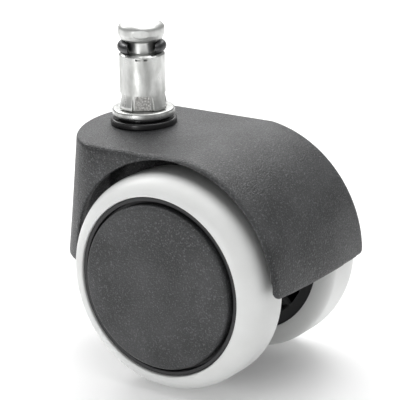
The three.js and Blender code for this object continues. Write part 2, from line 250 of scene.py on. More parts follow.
def draw_face(name: str, outline: Sequence[Vector]) -> Piece:
    """Draws a closed outline and fills it, and stays in edit mode with the face selected."""
    piece = draw_line(name, [*outline, outline[0]])
    bpy.ops.mesh.select_all(action="SELECT")
    bpy.ops.mesh.remove_doubles(threshold=MERGE)
    bpy.ops.mesh.edge_face_add()
    return piece


def push(move: Vector, scale: Vector, about: Vector) -> None:
    """Extrudes the selected face by `move`, then scales it about a point."""
    bpy.ops.mesh.extrude_region_move(TRANSFORM_OT_translate={"value": move})
    bpy.ops.transform.resize(value=scale, center_override=about)


def block(name: str, low: Vector, high: Vector) -> Piece:
    """An upright block between two corners given in metres."""
    corners = [
        Vector((low.x, low.y, low.z)),
        Vector((high.x, low.y, low.z)),
        Vector((high.x, high.y, low.z)),
        Vector((low.x, high.y, low.z)),
    ]
    return prism(name, corners, Vector((0, 0, high.z - low.z)))


def apply_modifier(piece: Piece, kind: str, **settings: object) -> None:
    """Adds a modifier with its settings and applies it.

    Args:
        piece: The piece it changes.
        kind: Blender's name of the modifier.
        **settings: Values of the modifier's own fields.
    """
    pick(piece)
    modifier = piece.modifiers.new(kind, kind)
    for field, value in settings.items():
        setattr(modifier, field, value)
    bpy.ops.object.modifier_apply(modifier=modifier.name)


def combine(piece: Piece, tool: Piece, how: Join) -> None:
    """Adds a tool to a piece, cuts it away or keeps what both share, and removes the tool."""
    apply_modifier(piece, "BOOLEAN", object=tool, operation=how.value, solver="MANIFOLD")
    bpy.data.objects.remove(tool)


def soften(piece: Piece, width: float, segments: int = 3, limit: float = 40) -> None:
    """Rounds the piece's edges that are sharper than a limit in degrees, `width` in millimetres."""
    apply_modifier(
        piece,
        "BEVEL",
        width=width * MM,
        segments=segments,
        limit_method="ANGLE",
        angle_limit=math.radians(limit),
        use_clamp_overlap=True,
        harden_normals=False,
    )


def twin(piece: Piece, name: str, spindle: Spindle) -> Piece:
    """Copies a piece and turns the copy half a turn about the upright line through a spindle.

    Args:
        piece: The piece that is copied.
        name: Name of the copy.
        spindle: Its centre is the point the copy is turned about.

    Returns:
        The copy, with a mesh of its own.
    """
    pick(piece)
    bpy.ops.object.duplicate(linked=False)
    copy = bpy.context.object
    copy.name = copy.data.name = name
    edit(copy)
    bpy.ops.transform.rotate(value=math.pi, orient_axis="Z", center_override=spindle.centre)
    close_up()
    return copy


def arc(centre: Place, radii: Place, start: float, end: float, steps: int) -> list[Place]:
    """Points of an elliptic arc.

    Args:
        centre: Its middle.
        radii: Its half widths, outwards and along.
        start: First angle.
        end: Last angle.
        steps: Number of steps between them.

    Returns:
        The points, both ends included.
    """
    angles = [start + (end - start) * i / steps for i in range(steps + 1)]
    return [
        (centre[0] + radii[0] * math.cos(a), centre[1] + radii[1] * math.sin(a)) for a in angles
    ]


def eased(corners: Sequence[Corner], closed: bool, steps: int = 4) -> list[Place]:
    """An outline with its corners rounded.

    Args:
        corners: Each as distance out, distance along and rounding, in millimetres.
        closed: Whether the last corner is joined to the first.
        steps: Steps in each rounded corner.

    Returns:
        The points of the outline, with the first repeated at the end if it is closed.
    """
    points: list[Place] = []
    count = len(corners)
    for i, (out, along, rounding) in enumerate(corners):
        here = Vector((out, along))
        inside = closed or 0 < i < count - 1
        if rounding <= 0 or not inside:
            points.append((out, along))
            continue
        before = Vector(corners[i - 1][:2]) - here
        after = Vector(corners[(i + 1) % count][:2]) - here
        half = before.angle(after) / 2
        reach = min(rounding / math.tan(half), before.length * 0.49, after.length * 0.49)
        first = here + before.normalized() * reach
        last = here + after.normalized() * reach
        for k in range(steps + 1):
            t = k / steps
            point = first * (1 - t) ** 2 + here * 2 * t * (1 - t) + last * t**2
            points.append((point.x, point.y))
    if closed:
        points.append(points[0])
    return points


# ---- finishes -------------------------------------------------------------------------------


def linear(colour: str) -> tuple[float, float, float, float]:
    """An sRGB hex colour such as "#4a4b4d" as linear RGBA."""
    parts = [int(colour[i : i + 2], 16) / 255 for i in (1, 3, 5)]
    red, green, blue = (
        c / 12.92 if c <= 0.04045 else ((c + 0.055) / 1.055) ** 2.4 for c in parts
    )
    return red, green, blue, 1.0


def add_node(
    tree: Tree, kind: str, links: Inputs | None = None, **settings: object
) -> bpy.types.Node:
    """Adds a node.

    Args:
        tree: The node tree it goes into.
        kind: Blender's name of the node type.
        links: For each input, by name or number, the socket it comes from or its value.
        **settings: Values of the node's own fields.

    Returns:
        The new node.
    """
    node = tree.nodes.new(kind)
    for field, value in settings.items():
        setattr(node, field, value)
    for socket, value in (links or {}).items():
        if isinstance(value, Socket):
            tree.links.new(value, node.inputs[socket])
        else:
            node.inputs[socket].default_value = value
    return node


def per_metre(size: float) -> float:
    """Texture scale whose features are `size` millimetres across."""
    return 1 / (size * MM)


@dataclass(frozen=True)
class Finish:
    """A surface, from the real material and how it was made."""

    name: str
    colour: str
    roughness: float

    def make(self) -> bpy.types.Material:
        """Builds the material with its nodes."""
        material = bpy.data.materials.new(self.name)
        material.use_nodes = True
        tree = material.node_tree
        tree.nodes.clear()
        place = add_node(tree, "ShaderNodeTexCoord").outputs["Object"]
        surface = add_node(tree, "ShaderNodeBsdfPrincipled", self.surface(tree, place))
        shader = surface.outputs["BSDF"]
        add_node(tree, "ShaderNodeOutputMaterial", {"Surface": shader})
        return material

    def surface(self, tree: Tree, place: Socket) -> Inputs:
        """Values and sockets for the surface shader's inputs."""
        return {"Base Color": linear(self.colour), "Roughness": self.roughness}

    @staticmethod
    def noise(tree: Tree, place: Socket, size: float, detail: float = 2) -> Socket:
        """A noise whose features are `size` millimetres across, as a value round one half."""
        links = {"Vector": place, "Scale": per_metre(size), "Detail": detail}
        return add_node(tree, "ShaderNodeTexNoise", links).outputs["Fac"]

    @staticmethod
    def spread(tree: Tree, value: Socket, found: Place, wanted: Place) -> Socket:
        """Maps a value from the range it is found in to the range that is wanted."""
        links = {
            "Value": value,
            "From Min": found[0],
            "From Max": found[1],
            "To Min": wanted[0],
            "To Max": wanted[1],
        }
        return add_node(tree, "ShaderNodeMapRange", links).outputs["Result"]

    def uneven(self, tree: Tree, value: Socket, found: Place, by: Place) -> Socket:
        """Roughness that follows a value, smoother and duller by the two amounts in `by`."""
        wanted = self.roughness - by[0], self.roughness + by[1]
        return self.spread(tree, value, found, wanted)

    @staticmethod
    def blend(tree: Tree, share: Socket, first: object, second: object) -> Socket:
        """Mixes two colours by a share from 0 to 1."""
        links = {0: share, 6: first, 7: second}
        return add_node(tree, "ShaderNodeMix", links, data_type="RGBA").outputs[2]

    @staticmethod
    def relief(tree: Tree, height: Socket, depth: float) -> Socket:
        """Turns a height from 0 to 1 into a relief `depth` millimetres deep."""
        links: Inputs = {"Height": height, "Distance": depth * MM, "Strength": 1.0}
        return add_node(tree, "ShaderNodeBump", links).outputs["Normal"]


@dataclass(frozen=True)
class MouldedNylon(Finish):
    """Glass-filled nylon moulded against a spark-eroded steel cavity.

    The erosion leaves fine craters, so the skin is matt. Small pale specks are painted into its
    colour as painted glints, where the grain's raised points would catch the light, and the filler
    gives a slightly cloudy grey.
    """

    # colour of the filler's cloudy haze and of the painted glints
    haze_and_glint_colour: str
    grain: float  # crater spacing, mm
    depth: float  # crater depth, mm

    def surface(self, tree: Tree, place: Socket) -> Inputs:
        """Values and sockets for the surface shader's inputs."""
        craters = self.noise(tree, place, self.grain, 3)
        cloud = self.noise(tree, place, self.grain * 30, 2)
        painted_glints = self.noise(tree, place, self.grain * 1.1, 1)
        pale, dark = linear(self.haze_and_glint_colour), linear(self.colour)
        haze = self.spread(tree, cloud, (0.35, 0.65), (0.0, 0.2))
        plain = self.blend(tree, haze, dark, pale)
        # painted glints: pale specks mixed into the colour where the grain's raised points would
        # catch the light
        share = self.spread(tree, painted_glints, (0.54, 0.76), (0.0, 0.75))
        rough = self.uneven(tree, craters, (0.3, 0.7), (0.1, 0.1))
        return {
            "Base Color": self.blend(tree, share, plain, pale),
            "Roughness": rough,
            "IOR": 1.53,
            "Normal": self.relief(tree, craters, self.depth),
        }


@dataclass(frozen=True)
class SmoothNylon(Finish):
    """Nylon moulded against a ground steel cavity: dark, with a soft shine and faint flow marks."""

    flow: float  # spacing of the flow marks, mm

    def surface(self, tree: Tree, place: Socket) -> Inputs:
        """Values and sockets for the surface shader's inputs."""
        marks = self.noise(tree, place, self.flow, 4)
        rough = self.uneven(tree, marks, (0.3, 0.7), (0.06, 0.08))
        return {
            "Base Color": linear(self.colour),
            "Roughness": rough,
            "IOR": 1.53,
            "Normal": self.relief(tree, marks, 0.02),
        }


@dataclass(frozen=True)
class SoftPolyurethane(Finish):
    """Thermoplastic polyurethane moulded over the hub: pale, satin, and slightly translucent.

    Light that enters the skin comes out again nearby, which softens its shading, and the cast
    skin carries a faint orange peel.
    """

    shade_colour: str
    peel: float  # spacing of the orange peel, mm

    def surface(self, tree: Tree, place: Socket) -> Inputs:
        """Values and sockets for the surface shader's inputs."""
        peel = self.noise(tree, place, self.peel, 2)
        cloud = self.noise(tree, place, self.peel * 9, 3)
        share = self.spread(tree, cloud, (0.35, 0.7), (0.0, 0.5))
        rough = self.uneven(tree, cloud, (0.3, 0.7), (0.04, 0.06))
        return {
            "Base Color": self.blend(
                tree, share, linear(self.colour), linear(self.shade_colour)
            ),
            "Roughness": rough,
            "IOR": 1.5,
            "Subsurface Weight": 0.15,
            "Subsurface Radius": (1.0, 1.0, 1.0),
            "Subsurface Scale": 0.8 * MM,
            "Normal": self.relief(tree, peel, 0.006),
        }


@dataclass(frozen=True)
class TurnedMetal(Finish):
    """Steel turned or drawn to shape: rings from the tool run round the stem's axis.

    Bright zinc keeps them as fine bands that are slightly duller or cleaner, and handling leaves
    small cloudy patches.
    """

    dull_colour: str
    ring_pitch: float  # spacing of the tool marks, mm
    ring_depth: float  # mm
    patch: float = 2.2  # size of the cloudy patches, mm

    def surface(self, tree: Tree, place: Socket) -> Inputs:
        """Values and sockets for the surface shader's inputs."""
        flattened = add_node(
            tree, "ShaderNodeMapping", {"Vector": place, "Scale": (0.05, 0.05, 1.0)}
        ).outputs["Vector"]
        drawn = add_node(
            tree, "ShaderNodeMapping", {"Vector": place, "Scale": (1.0, 1.0, 0.4)}
        ).outputs["Vector"]
        rings = self.noise(tree, flattened, self.ring_pitch, 2)
        patches = self.noise(tree, drawn, self.patch, 4)
        share = self.spread(tree, patches, (0.4, 0.72), (0.0, 0.8))
        rough = self.uneven(tree, patches, (0.35, 0.7), (0.05, 0.12))
        return {
            "Base Color": self.blend(
                tree, share, linear(self.colour), linear(self.dull_colour)
            ),
            "Metallic": 1.0,
            "Roughness": rough,
            "Normal": self.relief(tree, rings, self.ring_depth),
        }


@dataclass(frozen=True)
class StampedMetal(Finish):
    """Floor of a square punched into the sleeve: a coarse pattern of small pits, plated over, with
    painted shade in the pits.
    """

    # colour of the painted shade at the bottom of the pits
    pit_shade_colour: str
    pit: float  # spacing of the pits, mm
    depth: float  # mm

    def surface(self, tree: Tree, place: Socket) -> Inputs:
        """Values and sockets for the surface shader's inputs."""
        pits = add_node(
            tree, "ShaderNodeTexVoronoi", {"Vector": place, "Scale": per_metre(self.pit)}
        ).outputs["Distance"]
        height = self.spread(tree, pits, (0.0, 0.8), (1.0, 0.0))
        # painted shade: the colour darkens where the pits are deep, following the same height as
        # the relief
        shade = self.blend(tree, height, linear(self.pit_shade_colour), linear(self.colour))
        return {
            "Base Color": shade,
            "Metallic": 1.0,
            "Roughness": self.roughness,
            "Normal": self.relief(tree, height, self.depth),
        }


@dataclass(frozen=True)
class LightTable(Finish):
    """Opal acrylic sheet lit from below, which leaves only faint shadows."""

    glow: float

    def surface(self, tree: Tree, place: Socket) -> Inputs:
        """Values for the surface shader's inputs."""
        return {
            "Base Color": linear(self.colour),
            "Roughness": self.roughness,
            "Emission Color": (1.0, 1.0, 1.0, 1.0),
            "Emission Strength": self.glow,
        }


HOOD_SKIN = MouldedNylon(
    "spark_eroded_nylon_hood",
    "#1e1f20",
    0.44,
    haze_and_glint_colour="#68696b",
    grain=0.36,
    depth=0.24,
)
CAP_SKIN = MouldedNylon(
    "spark_eroded_nylon_cap",
    "#272829",
    0.5,
    haze_and_glint_colour="#68696b",
    grain=0.34,
    depth=0.2,
)
HUB_SKIN = SmoothNylon("moulded_nylon_hub", "#222224", 0.45, flow=1.4)
BUSH_SKIN = SmoothNylon("moulded_nylon_bush", "#1e1e1f", 0.3, flow=1.2)
TREAD_SKIN = SoftPolyurethane(
    "moulded_polyurethane_tread", "#e6e7e6", 0.38, shade_colour="#dcdddb", peel=0.9
)
ZINC = TurnedMetal(
    "bright_zinc_plated_steel",
    "#d0d1cf",
    0.31,
    dull_colour="#a4a5a2",
    ring_pitch=0.12,
    ring_depth=0.004,
)
PIN_ZINC = TurnedMetal(
    "satin_zinc_plated_pin",
    "#dcdddb",
    0.42,
    dull_colour="#b9bab7",
    ring_pitch=0.14,
    ring_depth=0.004,
)
DARK_SPRING = TurnedMetal(
    "oiled_spring_steel",
    "#5a5a5b",
    0.38,
    dull_colour="#3c3c3d",
    ring_pitch=0.2,
    ring_depth=0.006,
)
PUNCHED_ZINC = StampedMetal(
    "punched_zinc_plated_steel", "#dedddb", 0.42, pit_shade_colour="#a3a29f", pit=0.45, depth=0.07
)
PALE_FLOOR = LightTable("opal_acrylic_light_table", "#e8e8e8", 0.9, glow=0.15)


class Slot(Enum):
    """The record's material slots."""

    PLATED_STEEL = "plated_steel"
    SPRING_STEEL = "spring_steel"
    BLACK_NYLON = "black_nylon"
    GREY_NYLON = "grey_nylon"
    HUB_NYLON = "hub_nylon"
    CAP_NYLON = "cap_nylon"
    SOFT_TREAD = "soft_tread"


class Paints:
    """Builds each finish once and keeps its material."""

    def __init__(self) -> None:
        """Starts with no material built."""
        self._made: dict[str, bpy.types.Material] = {}

    def of(self, finish: Finish) -> bpy.types.Material:
        """The material of a finish."""
        if finish.name not in self._made:
            self._made[finish.name] = finish.make()
        return self._made[finish.name]


@dataclass
class Bench:
    """Where pieces are finished: the materials, and the frame's two spindles."""

    paints: Paints
    stem: Spindle
    wheel: Spindle

    def deliver(
        self, piece: Piece, body: str, node: str, slot: Slot, finish: Finish
    ) -> None:
        """Dresses a finished piece and puts it in its node's place.

        Args:
            piece: The piece, in place.
            body: The body it rides on.
            node: The CAD node it stands for.
            slot: The record's material slot; not used.
            finish: Its surface.
        """
        pick(piece)
        bpy.ops.object.shade_smooth_by_angle(angle=SMOOTH_BELOW)
        if not piece.data.materials:
            piece.data.materials.append(None)
        piece.data.materials[0] = self.paints.of(finish)
        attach(piece, body)
        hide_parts(node)
        log.info("%s: %d faces, rides on %s", piece.name, len(piece.data.polygons), body)

    def dress(self, node: Piece, finish: Finish) -> None:
        """Gives a carried-over CAD node its surface."""
        node.data.materials.clear()
        node.data.materials.append(self.paints.of(finish))
        log.info("%s: carried over from the frame", node.name)


# ---- stem -----------------------------------------------------------------------------------


@dataclass
class Stem:
    """Pin, sleeve, grip ring and flange that plug into the chair's leg."""

    bench: Bench
    tip: float = 20.7
    head_radius: float = 5.3
    band_bottom: float = 17.3
    band_top: float = 18.4
    belly: float = 1.1  # height of the bulge under the head's band
    belly_inset: float = 0.45
    neck_radius: float = 3.1
    neck_bottom: float = 12.9
    neck_top: float = 15.6
    core_radius: float = 4.0
    journal_end: float = -27.5
    groove_radius: float = 3.2
    groove_top: float = -24.9
    groove_bottom: float = -26.0
    oval_half_width: float = 1.95
    oval_half_height: float = 0.88
    sleeve_radius: float = 5.25
    bore: float = 4.1
    foot: float = 0.1
    mouth_chamfer: float = 0.45
    nicks: tuple[Place, ...] = ((-0.16, 0.62), (0.17, 0.42))  # azimuth and half width
    nick_depth: float = 0.9
    nick_bottom: float = 11.8
    nick_top: float = 12.25
    land_radius: float = 5.85
    land_shoulder: float = 0.9
    land_top: float = 3.6
    land_start: float = math.radians(25)
    stamp_size: float = 3.6
    stamp_floor: float = 4.85
    ring_centre: float = 4.4
    ring_wire: float = 1.2
    ring_gap: float = 6.3
    flange_radius: float = 7.2
    flange_thickness: float = 1.7

    def radial_block(self, name: str, azimuth: float, low: Corner, high: Corner) -> Piece:
        """A block drawn facing +X and turned to an azimuth.

        Args:
            name: Name of the block.
            azimuth: The direction it faces.
            low: Lowest corner as out, sideways and up, in millimetres.
            high: Highest corner.

        Returns:
            The block.
        """
        tool = block(name, Vector(low) * MM, Vector(high) * MM)
        tool.data.transform(Matrix.Rotation(azimuth, 4, "Z"))
        return tool

    def pin(self) -> None:
        """Turned core with a domed head, one side of which is punched flat."""
        height = self.tip - self.band_top
        dome = arc((0, self.band_top), (self.head_radius, height), QUARTER, 0, 14)
        shaft: list[Corner] = [
            (self.head_radius, self.band_top, 0),
            (self.head_radius, self.band_bottom, 0.6),
            (self.head_radius - self.belly_inset, self.band_bottom - self.belly, 0.9),
            (self.core_radius, self.neck_top, 0.3),
            (self.neck_radius, self.neck_top, 0.25),
            (self.neck_radius, self.neck_bottom, 0.25),
            (self.core_radius, self.neck_bottom, 0.1),
            (self.core_radius, self.groove_top, 0.1),
            (self.groove_radius, self.groove_top, 0.05),
            (self.groove_radius, self.groove_bottom, 0.05),
            (self.core_radius, self.groove_bottom, 0.1),
            (self.core_radius, self.journal_end + 0.6, 0.2),
            (self.core_radius - 0.6, self.journal_end, 0.2),
            (0, self.journal_end, 0),
        ]
        outline = [*dome[:-1], *eased(shaft, closed=False)]
        piece = turn("pin", self.bench.stem, outline, SMALL_TURN)
        combine(piece, self.oval_punch(), Join.CUT)
        self.bench.deliver(piece, "stem", "stem_pin", Slot.PLATED_STEEL, PIN_ZINC)

    def oval_punch(self) -> Piece:
        """The punch that flattens an oval on the head's band, with slightly sloping sides."""
        floor = math.sqrt(self.head_radius**2 - self.oval_half_width**2)
        middle = (self.band_bottom + self.band_top) / 2
        deselect()
        bpy.ops.mesh.primitive_circle_add(vertices=48, radius=MM, fill_type="NGON")
        punch = bpy.context.object
        punch.rotation_euler = (0, QUARTER, 0)
        settle(punch)
        edit(punch)
        flare = 1.25  # how much the punch widens in its first millimetre
        size = Vector((1, self.oval_half_width, self.oval_half_height))
        bpy.ops.transform.resize(value=size, center_override=Vector())
        bpy.ops.transform.translate(value=mm(floor, 0, middle))
        push(mm(1, 0, 0), Vector((1, flare, flare)), mm(floor, 0, middle))
        close_up()
        punch.data.transform(Matrix.Rotation(STAMP_AZIMUTH, 4, "Z"))
        return punch

    def sleeve(self) -> None:
        """Pressed sleeve with a chamfered mouth, raised lands, punched squares and two nicks."""
        chamfer = self.mouth_chamfer
        rings = range(1, 23)  # close rings of vertices keep the shading true beside the cuts
        tube = eased(
            [
                (self.bore, self.foot, 0.05),
                (self.sleeve_radius, self.foot, 0.08),
                *[(self.sleeve_radius, self.foot + i / 2, 0) for i in rings],
                (self.sleeve_radius, self.neck_bottom - chamfer, 0.12),
                (self.sleeve_radius - chamfer, self.neck_bottom, 0.1),
                (self.bore, self.neck_bottom, 0.05),
            ],
            closed=True,
        )
        piece = turn("sleeve", self.bench.stem, tube, SMALL_TURN)
        for quarter in range(4):
            azimuth = STAMP_AZIMUTH + quarter * QUARTER
            combine(piece, self.land(azimuth + self.land_start), Join.ADD)
        half = self.stamp_size / 2
        for quarter in range(4):
            low = (self.stamp_floor, -half, -1.0)
            high = (self.land_radius * 2, half, self.land_top)
            azimuth = STAMP_AZIMUTH + quarter * QUARTER
            combine(piece, self.radial_block("stamp", azimuth, low, high), Join.CUT)
        for offset, half in self.nicks:
            low = (self.sleeve_radius - self.nick_depth, -half, self.nick_bottom)
            high = (self.sleeve_radius + 1, half, self.nick_top)
            tool = self.radial_block("nick", STAMP_AZIMUTH + offset, low, high)
            combine(piece, tool, Join.CUT)
        edit(piece)
        close_up()
        self.mark_stamps(piece)
        self.bench.deliver(piece, "stem", "stem_sleeve", Slot.PLATED_STEEL, ZINC)

    def land(self, start: float) -> Piece:
        """One raised land of the sleeve's foot, from an azimuth on."""
        inner = self.sleeve_radius - 0.4
        outline = eased(
            [
                (inner, self.foot, 0),
                (self.land_radius, self.foot, 0.2),
                (self.land_radius, self.land_shoulder, 0.5),
                (self.sleeve_radius - 0.05, self.land_top, 0.5),
                (inner, self.land_top, 0),
            ],
            closed=True,
        )
        angle = QUARTER - 2 * self.land_start
        piece = turn("land", self.bench.stem, outline, 16, start, angle)
        soften(piece, 0.18, 3, 50)
        return piece

    def mark_stamps(self, piece: Piece) -> None:
        """Gives the floors of the four punched squares the coarse punched finish."""
        piece.data.materials.clear()
        for finish in (ZINC, PUNCHED_ZINC):
            piece.data.materials.append(self.bench.paints.of(finish))
        slack, facing = 0.01 * MM, 0.99
        for quarter in range(4):
            azimuth = STAMP_AZIMUTH + quarter * QUARTER
            out = Vector((math.cos(azimuth), math.sin(azimuth), 0))
            for face in piece.data.polygons:
                on_floor = abs(face.center.dot(out) - self.stamp_floor * MM) < slack
                if on_floor and face.normal.dot(out) > facing:
                    face.material_index = 1

    def ring(self) -> None:
        """Open ring of round spring wire that snaps into the chair's socket."""
        level = (self.neck_bottom + self.neck_top) / 2
        section = arc((self.ring_centre, level), (self.ring_wire, self.ring_wire), 0, math.tau, 28)
        piece = turn("grip", self.bench.stem, section, SMALL_TURN)
        half, clear = self.ring_gap / 2, self.ring_wire * 2
        low = (0.0, -half, level - clear)
        high = (self.ring_centre + clear, half, level + clear)
        combine(piece, self.radial_block("gap", STAMP_AZIMUTH, low, high), Join.CUT)
        soften(piece, 0.25, 4, 50)
        self.bench.deliver(piece, "grip", "grip_ring", Slot.SPRING_STEEL, DARK_SPRING)

    def flange(self) -> None:
        """Thick washer with rounded edges under the sleeve."""
        outline = eased(
            [
                (self.bore, -self.flange_thickness, 0.1),
                (self.flange_radius, -self.flange_thickness, 0.6),
                (self.flange_radius, 0, 0.6),
                (self.bore, 0, 0.1),
            ],
            closed=True,
            steps=7,
        )
        piece = turn("collar", self.bench.stem, outline, SMALL_TURN)
        self.bench.deliver(piece, "stem", "stem_flange", Slot.PLATED_STEEL, ZINC)

    def build(self) -> None:
        """Builds and dresses every piece of the stem."""
        self.pin()
        self.sleeve()
        self.ring()
        self.flange()


# ---- hood -----------------------------------------------------------------------------------


@dataclass
class Hood:
    """Moulded cover with its wheel arches, middle wall and the bush of the swivel."""

    bench: Bench
    roof: float = 29.55  # crown of the roof, above the wheel axis
    skirt: float = -0.6  # lower edge of the front, from the wheel axis
    tail: float = 0.7  # lower edge of the back, from the wheel axis
    nose: float = -32.3
    nose_start: float = -20.0
    nose_exponent: float = 1.9
    nose_lean: float = 4.8
    half_width: float = 19.2
    crown: float = 1.0
    edge: float = 1.5
    plan_rise: float = 0.15
    wall: float = 1.8
    back_radius: float = 28.65
    arch_radius: float = 26.65
    arc_x: float = 0.35
    arc_z: float = 1.15
    arch_start: float = 9.0
    web_half: float = 2.5
    stem_boss: float = 8.3
    stem_boss_end: float = -24.2
    axle_boss: float = 7.0
    axle_boss_half: float = 8.3
    stem_bore: float = 5.5
    axle_bore: float = 3.1
    bush_bore: float = 4.06
    bush_body: float = 5.4
    bush_collar: float = 7.65
    collar_top: float = -2.3
    bush_nose: float = 5.6
    bush_top: float = -1.8
    tail_round: float = 2.4
    voxel: float = 0.4  # grid on which the moulding's edges are eased

    def at(self, out: float, side: float, up: float) -> Vector:
        """A point measured from the wheel axis in millimetres, in metres."""
        return self.bench.wheel.centre + mm(out, side, up)

    def plan_outline(self, depth: float, half: float, up: float) -> list[Vector]:
        """The moulding seen from above at one level: a rounded nose and straight sides."""
        steps = 28
        power = 2 / self.nose_exponent
        points = []
        for i in range(2 * steps + 1):
            angle = QUARTER * (1 - i / steps)
            ahead = depth * max(math.cos(angle), 0) ** power
            side = math.copysign(half * abs(math.sin(angle)) ** power, angle)
            points.append(self.at(self.nose_start - ahead, side, up))
        rear = self.back_radius * 1.5
        return [*points, self.at(rear, -half, up), self.at(rear, half, up)]

    def plan_block(self, inset: float) -> Piece:
        """The plan outline raised to the roof, with its nose leaning back and its top rounded."""
        bottom = self.skirt - 1 - inset
        top = self.roof - inset + self.plan_rise
        edge = self.edge - inset / 2
        depth = self.nose_start - self.nose - inset
        half = self.half_width - inset
        lean = self.nose_lean * (top - bottom) / (self.roof - self.skirt)
        piece = draw_face("plan", self.plan_outline(depth + lean, half, bottom))
        about = self.at(self.nose_start, 0, top)
        shrink = depth / (depth + lean)
        push(mm(0, 0, top - edge - bottom), Vector((shrink, 1, 1)), about)
        steps = 10
        level, inwards = 0.0, 0.0
        for i in range(1, steps + 1):
            angle = QUARTER * i / steps
            next_level, next_inwards = edge * math.sin(angle), edge * (1 - math.cos(angle))
            deep = (depth - next_inwards) / (depth - inwards)
            wide = (half - next_inwards) / (half - inwards)
            push(mm(0, 0, next_level - level), Vector((deep, wide, 1)), about)
            level, inwards = next_level, next_inwards
        close_up()
        return piece

    def side_outline(self, sink: float, side: float) -> list[Vector]:
        """The moulding seen from its side: a flat roof that runs into a round back."""
        radius = self.back_radius - sink
        share = radius / self.back_radius
        top = (self.roof - self.arc_z) * share
        start = math.asin(min(top / radius, 1))
        front, bottom = -self.back_radius * 2, -self.back_radius
        steps = 64
        points = [(front, bottom), (front, top)]
        for i in range(steps + 1):
            angle = start * (1 - i / steps)
            points.append((radius * math.cos(angle), radius * math.sin(angle)))
        points.append((radius, bottom))
        return [self.at(self.arc_x + out, side, self.arc_z + up) for out, up in points]

    def sink_at(self, side: float, inset: float) -> float:
        """How far the roof lies below its crown at a distance from the middle plane."""
        edge = self.edge - inset / 2
        flat = self.half_width - inset - edge
        beyond = max(abs(side) - flat, 0) / edge
        drop = edge * (1 - math.sqrt(max(1 - beyond**2, 0)))
        return inset + self.crown * (side / self.half_width) ** 2 + drop

    def roof_block(self, inset: float) -> Piece:
        """The crowned roof and back, swept from side to side."""
        edge = self.edge - inset / 2
        half = self.half_width - inset
        flat = half - edge
        flat_steps, edge_steps = 9, 9
        right = [flat * i / flat_steps for i in range(flat_steps + 1)]
        right += [
            flat + edge * math.sin(QUARTER * i / edge_steps) for i in range(1, edge_steps + 1)
        ]
        stations = [-y for y in reversed(right[1:])] + right
        piece = draw_face("roof", self.side_outline(self.sink_at(-half, inset), -half))
        for here, there in pairwise(stations):
            ratio = (self.back_radius - self.sink_at(there, inset)) / (
                self.back_radius - self.sink_at(here, inset)
            )
            about = self.at(self.arc_x, there, self.arc_z)
            push(mm(0, there - here, 0), Vector((ratio, 1, ratio)), about)
        close_up()
        return piece

    def bar(
        self, name: str, spindle: Spindle, radius: float, start: float, end: float
    ) -> Piece:
        """A round bar along a spindle, between two distances from its centre."""
        return turn(name, spindle, [(0, start), (radius, start), (radius, end), (0, end)], BAR_TURN)

    def core(self) -> Piece:
        """The middle wall with the swivel boss and the axle boss."""
        stem_x = -self.bench.wheel.centre.x / MM
        boss_end = self.stem_boss_end - self.bench.wheel.centre.z / MM
        rear = self.back_radius + 1
        corners = [
            (stem_x - self.stem_boss, boss_end + 4),
            (stem_x + self.stem_boss - 1, boss_end),
            (-self.axle_boss, -2),
            (self.axle_boss, -2),
            (rear, self.tail + 10),
            (rear, self.roof + 1),
            (stem_x - self.stem_boss, self.roof + 1),
        ]
        outline = [self.at(out, -self.web_half, up) for out, up in corners]
        piece = prism("web", outline, mm(0, self.web_half * 2, 0))
        half = self.axle_boss_half
        axle_boss = self.bar("axle_boss", self.bench.wheel, self.axle_boss, -half, half)
        combine(piece, axle_boss, Join.ADD)
        boss = self.bar("stem_boss", self.bench.stem, self.stem_boss, self.stem_boss_end, 2)
        combine(piece, boss, Join.ADD)
        return piece

    def tail_corner(self, side: int) -> Piece:
        """What is taken off to round one lower corner of the back.

        Args:
            side: Sign of Y of the corner.

        Returns:
            The tool.
        """
        middle = (self.half_width - self.tail_round, self.tail + self.tail_round)
        rounded = arc(middle, (self.tail_round, self.tail_round), -QUARTER, 0, 10)
        beyond = self.half_width + 1, self.tail - 1
        profile = [
            (middle[0], beyond[1]),
            *rounded,
            (beyond[0], middle[1]),
            beyond,
        ]
        outline = [self.at(self.back_radius / 2, side * across, up) for across, up in profile]
        return prism("tail_corner", outline, mm(self.back_radius, 0, 0))

    def shell(self) -> None:
        """The whole moulding: outside, hollow, arches and bores, with every edge eased."""
        piece = self.plan_block(0)
        piece.name = piece.data.name = "cover"
        combine(piece, self.roof_block(0), Join.KEEP_COMMON)
        hollow = self.plan_block(self.wall)
        combine(hollow, self.roof_block(self.wall), Join.KEEP_COMMON)
        combine(hollow, self.core(), Join.CUT)
        combine(piece, hollow, Join.CUT)
        reach = self.back_radius * 2
        under = self.at(-reach, -reach, -reach), self.at(reach, reach, self.skirt)
        combine(piece, block("under", *under), Join.CUT)
        behind = self.at(0.1, -reach, -reach), self.at(reach, reach, self.tail)
        combine(piece, block("behind", *behind), Join.CUT)
        arch_line = Spindle(self.at(self.arc_x, 0, self.arc_z), self.bench.wheel.axis)
        for side in (-1, 1):
            start, end = sorted((side * self.arch_start, side * reach))
            combine(piece, self.bar("arch", arch_line, self.arch_radius, start, end), Join.CUT)
        axle_hole = self.bar("axle_hole", self.bench.wheel, self.axle_bore, -reach, reach)
        combine(piece, axle_hole, Join.CUT)
        stem_hole = self.bar("stem_hole", self.bench.stem, self.stem_bore, -reach, 5)
        combine(piece, stem_hole, Join.CUT)
        for side in (-1, 1):
            combine(piece, self.tail_corner(side), Join.CUT)
        apply_modifier(piece, "REMESH", mode="VOXEL", voxel_size=self.voxel * MM)
        apply_modifier(piece, "SMOOTH", factor=0.5, iterations=5)
        self.bench.deliver(piece, "hood_unit", "hood", Slot.GREY_NYLON, HOOD_SKIN)

